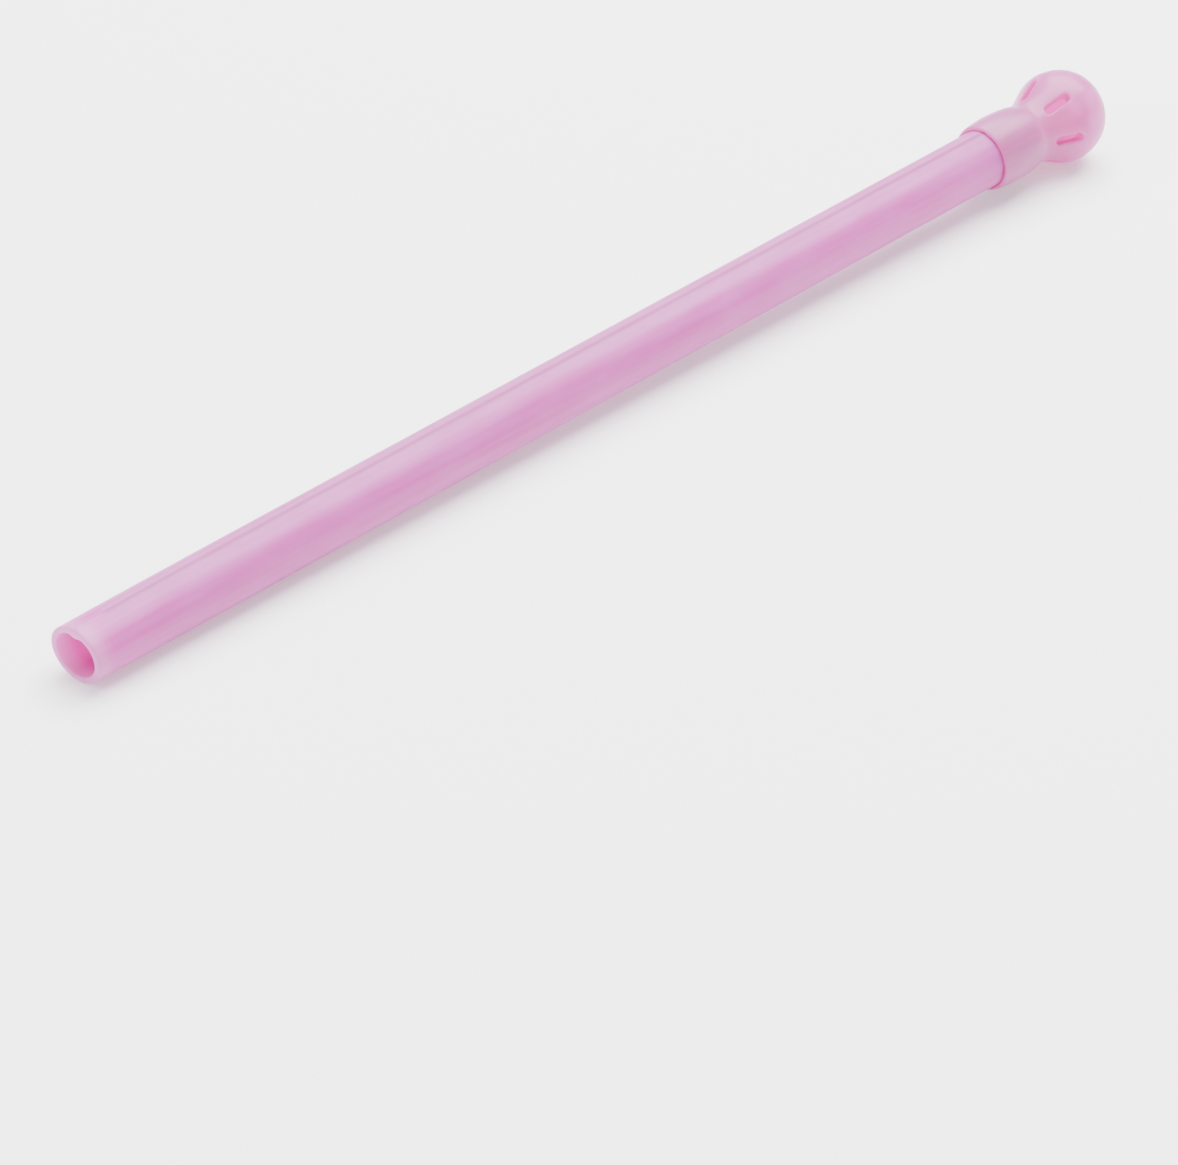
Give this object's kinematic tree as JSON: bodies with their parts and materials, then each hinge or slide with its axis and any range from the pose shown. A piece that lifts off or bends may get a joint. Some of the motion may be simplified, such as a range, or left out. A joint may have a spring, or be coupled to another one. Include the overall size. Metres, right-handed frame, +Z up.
{
  "type": "saliva ejector",
  "caption": "Disposable dental saliva ejector: a bendable soft vinyl suction tube with a shape-holding wire in its wall and a soft slotted two-lobed tip.",
  "frame": {"origin": "centre of the open plug end of the tube, on the tube's axis", "axes": "+X along the tube from the plug end to the tip's nose, +Z up through the wire, +Y sideways in the plane that the tube bends in"},
  "size_m": [0.15, 0.0104, 0.0104],
  "materials": {
    "tube_vinyl": "milky pink translucent soft PVC, semi-gloss extruded surface",
    "tip_vinyl": "paler milky pink translucent soft PVC, moulded, semi-gloss",
    "core_wire": "dull annealed wire, seen through the tube wall"
  },
  "bodies": {
    "rear_section": {"tube_rear": "tube_vinyl", "wire_rear": "core_wire"},
    "link_1": {"tube_link_1": "tube_vinyl", "wire_link_1": "core_wire"},
    "link_2": {"tube_link_2": "tube_vinyl", "wire_link_2": "core_wire"},
    "link_3": {"tube_link_3": "tube_vinyl", "wire_link_3": "core_wire"},
    "link_4": {"tube_link_4": "tube_vinyl", "wire_link_4": "core_wire"},
    "link_5": {"tube_link_5": "tube_vinyl", "wire_link_5": "core_wire"},
    "link_6": {"tube_link_6": "tube_vinyl", "wire_link_6": "core_wire"},
    "link_7": {"tube_link_7": "tube_vinyl", "wire_link_7": "core_wire"},
    "link_8": {"tube_link_8": "tube_vinyl", "wire_link_8": "core_wire"},
    "link_9": {"tube_link_9": "tube_vinyl", "wire_link_9": "core_wire"},
    "link_10": {"tube_link_10": "tube_vinyl", "wire_link_10": "core_wire"},
    "link_11": {"tube_link_11": "tube_vinyl", "wire_link_11": "core_wire"},
    "front_section": {"tube_front": "tube_vinyl", "wire_front": "core_wire", "tip_cap": "tip_vinyl"}
  },
  "joints": [
    {"name": "bend_1", "type": "hinge", "parent": "rear_section", "child": "link_1", "pos_m": [0.042, 0, 0], "axis": [0, 0, 1], "range_deg": [-13, 13]},
    {"name": "bend_2", "type": "hinge", "parent": "link_1", "child": "link_2", "pos_m": [0.049, 0, 0], "axis": [0, 0, 1], "range_deg": [-13, 13]},
    {"name": "bend_3", "type": "hinge", "parent": "link_2", "child": "link_3", "pos_m": [0.056, 0, 0], "axis": [0, 0, 1], "range_deg": [-13, 13]},
    {"name": "bend_4", "type": "hinge", "parent": "link_3", "child": "link_4", "pos_m": [0.063, 0, 0], "axis": [0, 0, 1], "range_deg": [-13, 13]},
    {"name": "bend_5", "type": "hinge", "parent": "link_4", "child": "link_5", "pos_m": [0.07, 0, 0], "axis": [0, 0, 1], "range_deg": [-13, 13]},
    {"name": "bend_6", "type": "hinge", "parent": "link_5", "child": "link_6", "pos_m": [0.077, 0, 0], "axis": [0, 0, 1], "range_deg": [-13, 13]},
    {"name": "bend_7", "type": "hinge", "parent": "link_6", "child": "link_7", "pos_m": [0.084, 0, 0], "axis": [0, 0, 1], "range_deg": [-13, 13]},
    {"name": "bend_8", "type": "hinge", "parent": "link_7", "child": "link_8", "pos_m": [0.091, 0, 0], "axis": [0, 0, 1], "range_deg": [-13, 13]},
    {"name": "bend_9", "type": "hinge", "parent": "link_8", "child": "link_9", "pos_m": [0.098, 0, 0], "axis": [0, 0, 1], "range_deg": [-13, 13]},
    {"name": "bend_10", "type": "hinge", "parent": "link_9", "child": "link_10", "pos_m": [0.105, 0, 0], "axis": [0, 0, 1], "range_deg": [-13, 13]},
    {"name": "bend_11", "type": "hinge", "parent": "link_10", "child": "link_11", "pos_m": [0.112, 0, 0], "axis": [0, 0, 1], "range_deg": [-13, 13]},
    {"name": "bend_12", "type": "hinge", "parent": "link_11", "child": "front_section", "pos_m": [0.119, 0, 0], "axis": [0, 0, 1], "range_deg": [-13, 13]}
  ]
}
